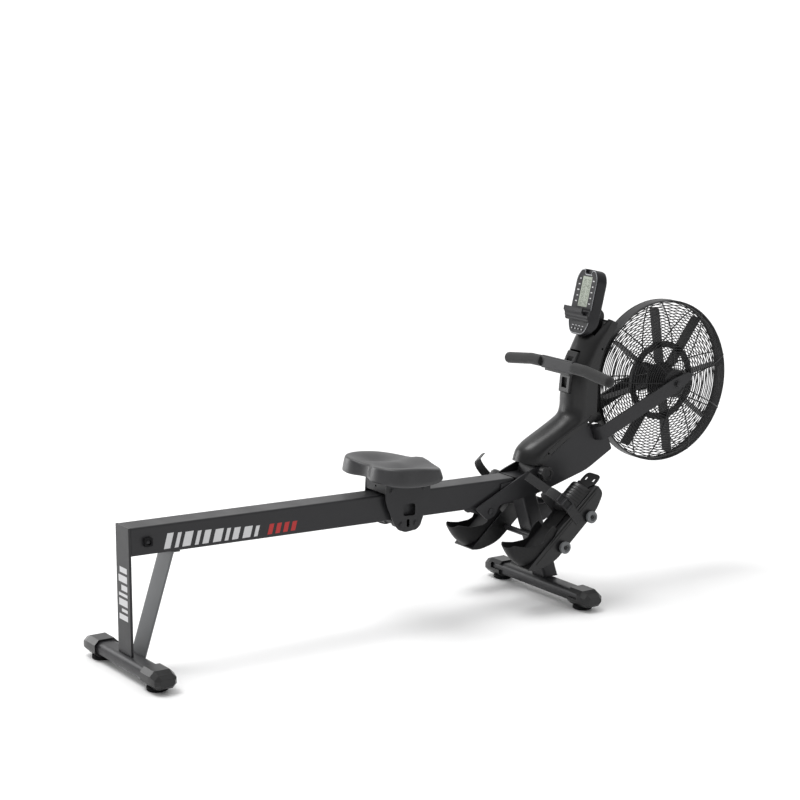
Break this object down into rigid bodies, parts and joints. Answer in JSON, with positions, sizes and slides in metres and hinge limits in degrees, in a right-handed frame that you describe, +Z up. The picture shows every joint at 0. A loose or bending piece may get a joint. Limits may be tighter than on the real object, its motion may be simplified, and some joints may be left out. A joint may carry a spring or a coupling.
{
  "type": "air rowing machine",
  "caption": "Air rowing machine: folding rail with rolling seat, sliding heel cups, strap handle on a tower, tilting console and a caged fan wheel.",
  "frame": {"origin": "on the floor, at the middle of the machine's whole length and width", "axes": "+X from the rear foot towards the fan, +Y to the seated rower's left, +Z up"},
  "size_m": [2.225, 0.542, 1.022],
  "materials": {
    "frame_paint": "fine satin powder coat",
    "strut_paint": "satin grey powder coat",
    "moulded_plastic": "fine-textured moulding",
    "cage_plastic": "satin moulding",
    "fan_plastic": "satin moulding",
    "pad_rubber": "matt rubber",
    "roller_rubber": "smooth polyurethane",
    "cup_rubber": "matt flexible moulding",
    "bright_steel": "turned and zinc plated",
    "webbing": "woven webbing",
    "grip_foam": "closed-cell foam",
    "seat_skin": "moulded foam skin",
    "console_plastic": "fine-textured moulding",
    "display": "reflective liquid crystal panel",
    "key_rubber": "silicone key"
  },
  "bodies": {
    "frame": {"main_post": "frame_paint", "front_leg": "frame_paint", "front_foot_bar": "frame_paint", "front_cap_left": "moulded_plastic", "front_cap_right": "moulded_plastic", "front_pad_left": "pad_rubber", "front_pad_right": "pad_rubber", "fan_fork": "frame_paint", "fan_axle": "bright_steel", "cage_left": "cage_plastic", "cage_right": "cage_plastic", "cage_rim": "cage_plastic", "tower_cover_left": "moulded_plastic", "tower_cover_right": "moulded_plastic", "handle_rest": "moulded_plastic", "console_neck": "moulded_plastic", "pedal_rod_lower": "frame_paint", "pedal_rod_upper": "frame_paint", "pedal_base_left": "moulded_plastic", "pedal_base_right": "moulded_plastic", "toe_plate_left": "moulded_plastic", "toe_plate_right": "moulded_plastic", "foot_strap_left": "webbing", "foot_strap_right": "webbing", "hinge_pin": "bright_steel", "spool_shaft": "bright_steel", "drive_belt": "pad_rubber"},
    "rail": {"rail_beam": "frame_paint", "rear_upright": "frame_paint", "rear_strut": "strut_paint", "rear_foot_bar": "frame_paint", "rear_cap_left": "moulded_plastic", "rear_cap_right": "moulded_plastic", "rear_pad_left": "pad_rubber", "rear_pad_right": "pad_rubber", "rail_stop": "moulded_plastic"},
    "seat": {"seat_pad": "seat_skin", "seat_carriage": "frame_paint"},
    "roller_ur": {"roller_upper_rear": "roller_rubber"},
    "roller_uf": {"roller_upper_front": "roller_rubber"},
    "roller_lr": {"roller_lower_rear": "roller_rubber"},
    "roller_lf": {"roller_lower_front": "roller_rubber"},
    "knob": {"lock_knob": "moulded_plastic"},
    "fan": {"fan_wheel": "fan_plastic"},
    "pulley": {"drive_pulley": "fan_plastic"},
    "spool": {"strap_spool": "fan_plastic"},
    "guide": {"guide_pulley": "fan_plastic"},
    "handle": {"handle_bar": "frame_paint", "handle_grip_left": "grip_foam", "handle_grip_right": "grip_foam", "pull_strap": "webbing"},
    "console": {"console_case": "console_plastic", "console_screen": "display", "device_shelf": "console_plastic"},
    "key_reset": {"button_reset": "key_rubber"},
    "key_mode": {"button_mode": "key_rubber"},
    "key_set": {"button_set": "key_rubber"},
    "key_recovery": {"button_recovery": "key_rubber"},
    "cup_left": {"heel_cup_left": "cup_rubber"},
    "cup_right": {"heel_cup_right": "cup_rubber"}
  },
  "joints": [
    {"name": "rail_fold", "type": "hinge", "parent": "frame", "child": "rail", "pos_m": [0.1445, 0, 0.309], "axis": [0, 1, 0], "range_deg": [0, 50]},
    {"name": "lock_knob_pull", "type": "slide", "parent": "frame", "child": "knob", "axis": [0, -1, 0], "range_m": [0, 0.012], "stiffness_N_per_m": 400, "springref_m": -0.004},
    {"name": "seat_slide", "type": "slide", "parent": "rail", "child": "seat", "axis": [-0.9998, 0, 0.0223], "range_m": [-0.17, 0.715]},
    {"name": "roller_ur_spin", "type": "hinge", "parent": "seat", "child": "roller_ur", "pos_m": [-0.2225, 0, 0.4231], "axis": [0, 1, 0], "continuous": true},
    {"name": "roller_uf_spin", "type": "hinge", "parent": "seat", "child": "roller_uf", "pos_m": [-0.1065, 0, 0.42051], "axis": [0, 1, 0], "continuous": true},
    {"name": "roller_lr_spin", "type": "hinge", "parent": "seat", "child": "roller_lr", "pos_m": [-0.1905, 0, 0.31619], "axis": [0, 1, 0], "continuous": true},
    {"name": "roller_lf_spin", "type": "hinge", "parent": "seat", "child": "roller_lf", "pos_m": [-0.1385, 0, 0.31503], "axis": [0, 1, 0], "continuous": true},
    {"name": "handle_pull", "type": "slide", "parent": "frame", "child": "handle", "axis": [1, 0, 0], "range_m": [-1.2, 0], "stiffness_N_per_m": 15, "springref_m": 0.4},
    {"name": "strap_spool_spin", "type": "hinge", "parent": "frame", "child": "spool", "pos_m": [0.5155, 0, 0.605], "axis": [0, 1, 0], "continuous": true},
    {"name": "guide_pulley_spin", "type": "hinge", "parent": "frame", "child": "guide", "pos_m": [0.5085, 0, 0.709], "axis": [0, 1, 0], "continuous": true},
    {"name": "fan_spin", "type": "hinge", "parent": "frame", "child": "fan", "pos_m": [0.8505, 0, 0.6385], "axis": [0, 1, 0], "continuous": true},
    {"name": "drive_pulley_spin", "type": "hinge", "parent": "frame", "child": "pulley", "pos_m": [0.5155, 0, 0.605], "axis": [0, 1, 0], "continuous": true},
    {"name": "console_tilt", "type": "hinge", "parent": "frame", "child": "console", "pos_m": [0.57247, 0, 0.85102], "axis": [0, 1, 0], "range_deg": [-1, 15]},
    {"name": "button_reset_press", "type": "slide", "parent": "console", "child": "key_reset", "axis": [0.9699, 0, -0.2436], "range_m": [0, 0.0015], "stiffness_N_per_m": 800},
    {"name": "button_mode_press", "type": "slide", "parent": "console", "child": "key_mode", "axis": [0.9699, 0, -0.2436], "range_m": [0, 0.0015], "stiffness_N_per_m": 800},
    {"name": "button_set_press", "type": "slide", "parent": "console", "child": "key_set", "axis": [0.9699, 0, -0.2436], "range_m": [0, 0.0015], "stiffness_N_per_m": 800},
    {"name": "button_recovery_press", "type": "slide", "parent": "console", "child": "key_recovery", "axis": [0.9699, 0, -0.2436], "range_m": [0, 0.0015], "stiffness_N_per_m": 800},
    {"name": "foot_slide_left", "type": "slide", "parent": "frame", "child": "cup_left", "axis": [0.7593, 0, 0.6508], "range_m": [-0.012, 0.03]},
    {"name": "foot_slide_right", "type": "slide", "parent": "frame", "child": "cup_right", "axis": [0.7593, 0, 0.6508], "range_m": [-0.012, 0.03]}
  ],
  "couplings": [
    {"joint": "roller_ur_spin", "follows": "seat_slide", "rad_per_m": -83.333},
    {"joint": "roller_uf_spin", "follows": "seat_slide", "rad_per_m": -83.333},
    {"joint": "roller_lr_spin", "follows": "seat_slide", "rad_per_m": 83.333},
    {"joint": "roller_lf_spin", "follows": "seat_slide", "rad_per_m": 83.333},
    {"joint": "strap_spool_spin", "follows": "handle_pull", "rad_per_m": 62.5},
    {"joint": "guide_pulley_spin", "follows": "handle_pull", "rad_per_m": 83.333},
    {"joint": "drive_pulley_spin", "follows": "fan_spin", "ratio": 0.5}
  ]
}
